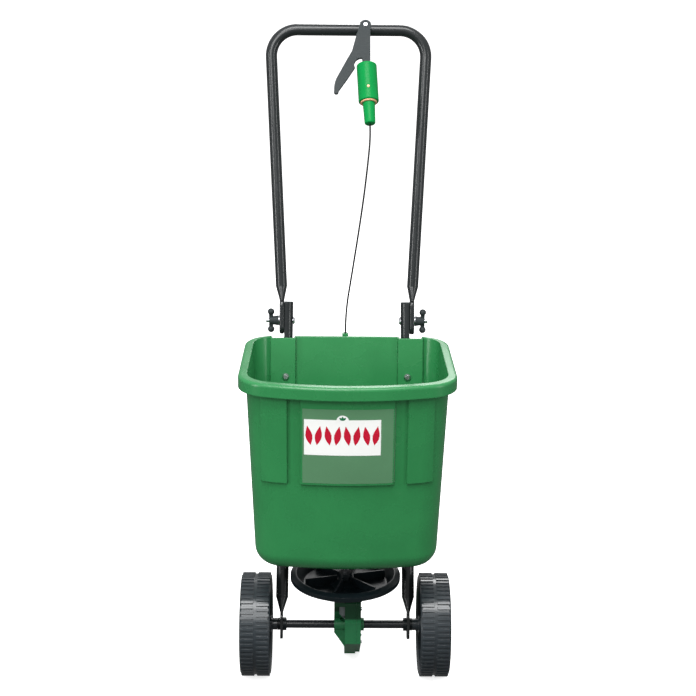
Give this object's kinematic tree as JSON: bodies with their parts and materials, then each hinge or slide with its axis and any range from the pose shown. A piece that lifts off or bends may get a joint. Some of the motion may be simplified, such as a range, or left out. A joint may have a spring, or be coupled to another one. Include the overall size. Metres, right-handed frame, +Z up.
{
  "type": "garden spreader",
  "caption": "Walk-behind broadcast spreader: deep hopper on a tube frame with ground-driven impeller, folding handle, and hand lever that works the outlet shutter by cable.",
  "frame": {"origin": "centre of the whole object's box, on the ground it stands on", "axes": "+Z up, -Y is the front of the hopper, +X is to the right seen from the front, so the axle lies along X"},
  "size_m": [0.404, 0.4826, 1.2341],
  "materials": {
    "hopper_green": "moulded polypropylene, satin gloss, fine scuffs",
    "housing_green": "moulded polypropylene, satin",
    "adjuster_green": "bright green moulded nylon, gloss",
    "adjuster_tan": "cream and orange moulded plastic",
    "lever_black": "glass-filled nylon, fine grain",
    "frame_black": "black powder coat on steel tube",
    "axle_black": "black painted steel rod",
    "wheel_black": "moulded black polyethylene, dusty",
    "impeller_black": "moulded black plastic",
    "gear_nylon": "grey nylon",
    "zinc_steel": "bright zinc plate",
    "cable_black": "black extruded sleeve",
    "label_white": null
  },
  "bodies": {
    "root": {"hopper": "hopper_green", "front_label": "label_white", "outlet_plate": "impeller_black", "lower_tube_left": "frame_black", "lower_tube_right": "frame_black", "tube_end_caps": "lever_black", "hopper_bolts": "zinc_steel", "hopper_nuts": "zinc_steel", "wing_bolts": "zinc_steel", "wing_washers": "zinc_steel", "axle_bush_left": "impeller_black", "axle_bush_right": "impeller_black", "gear_housing": "housing_green", "gear_housing_cover": "housing_green", "housing_screws": "zinc_steel", "cable_guide": "hopper_green", "control_cable": "cable_black"},
    "shutter": {"shutter_plate": "impeller_black"},
    "drive_axle": {"axle": "axle_black", "drive_gear": "gear_nylon", "gear_drive_pin": "zinc_steel", "wheel_right": "wheel_black", "wheel_drive_pin": "zinc_steel", "hub_cap_right": "wheel_black", "wheel_clip_left": "zinc_steel"},
    "free_wheel": {"wheel_left": "wheel_black", "hub_cap_left": "wheel_black"},
    "impeller": {"impeller_shaft": "zinc_steel", "pinion_gear": "gear_nylon", "impeller": "impeller_black", "impeller_set_screws": "zinc_steel", "agitator": "zinc_steel"},
    "handle": {"upper_handle": "frame_black", "lever_bracket": "lever_black", "lever_rivet": "zinc_steel", "adjuster_ring": "adjuster_tan", "adjuster_nozzle": "adjuster_green"},
    "lever": {"control_lever": "lever_black"},
    "dial": {"adjuster_barrel": "adjuster_green", "adjuster_pin": "adjuster_tan"},
    "wing_nut_left": {"wing_nut_left": "lever_black"},
    "wing_nut_right": {"wing_nut_right": "lever_black"}
  },
  "joints": [
    {"name": "handle_fold", "type": "hinge", "parent": "root", "child": "handle", "pos_m": [0, 0.08328, 0.673], "axis": [1, 0, 0], "range_deg": [0, 90], "deforming": ["control_cable"]},
    {"name": "lever_squeeze", "type": "hinge", "parent": "handle", "child": "lever", "pos_m": [0.0317, 0.21341, 1.22358], "axis": [0, 0.809, -0.5878], "range_deg": [0, 45], "stiffness_Nm_per_rad": 0.6, "springref_deg": -20.05},
    {"name": "shutter_slide", "type": "slide", "parent": "root", "child": "shutter", "axis": [0, 1, 0], "range_m": [0, 0.026]},
    {"name": "axle_spin", "type": "hinge", "parent": "root", "child": "drive_axle", "pos_m": [0, -0.07025, 0.1], "axis": [1, 0, 0], "continuous": true},
    {"name": "free_wheel_spin", "type": "hinge", "parent": "root", "child": "free_wheel", "pos_m": [-0.1725, -0.07025, 0.1], "axis": [1, 0, 0], "continuous": true},
    {"name": "impeller_spin", "type": "hinge", "parent": "root", "child": "impeller", "pos_m": [0, -0.07025, 0.2], "axis": [0, 0, 1], "continuous": true},
    {"name": "adjuster_turn", "type": "hinge", "parent": "handle", "child": "dial", "pos_m": [0.03542, 0.14971, 1.12791], "axis": [0.0523, -0.587, -0.8079], "range_deg": [0, 270]},
    {"name": "wing_nut_left_turn", "type": "hinge", "parent": "root", "child": "wing_nut_left", "pos_m": [-0.143, 0.08328, 0.673], "axis": [-1, 0, 0], "range_deg": [0, 360]},
    {"name": "wing_nut_right_turn", "type": "hinge", "parent": "root", "child": "wing_nut_right", "pos_m": [0.143, 0.08328, 0.673], "axis": [1, 0, 0], "range_deg": [0, 360]}
  ],
  "couplings": [
    {"joint": "impeller_spin", "follows": "axle_spin", "ratio": -3},
    {"joint": "shutter_slide", "follows": "lever_squeeze", "m_per_rad": 0.033101}
  ]
}
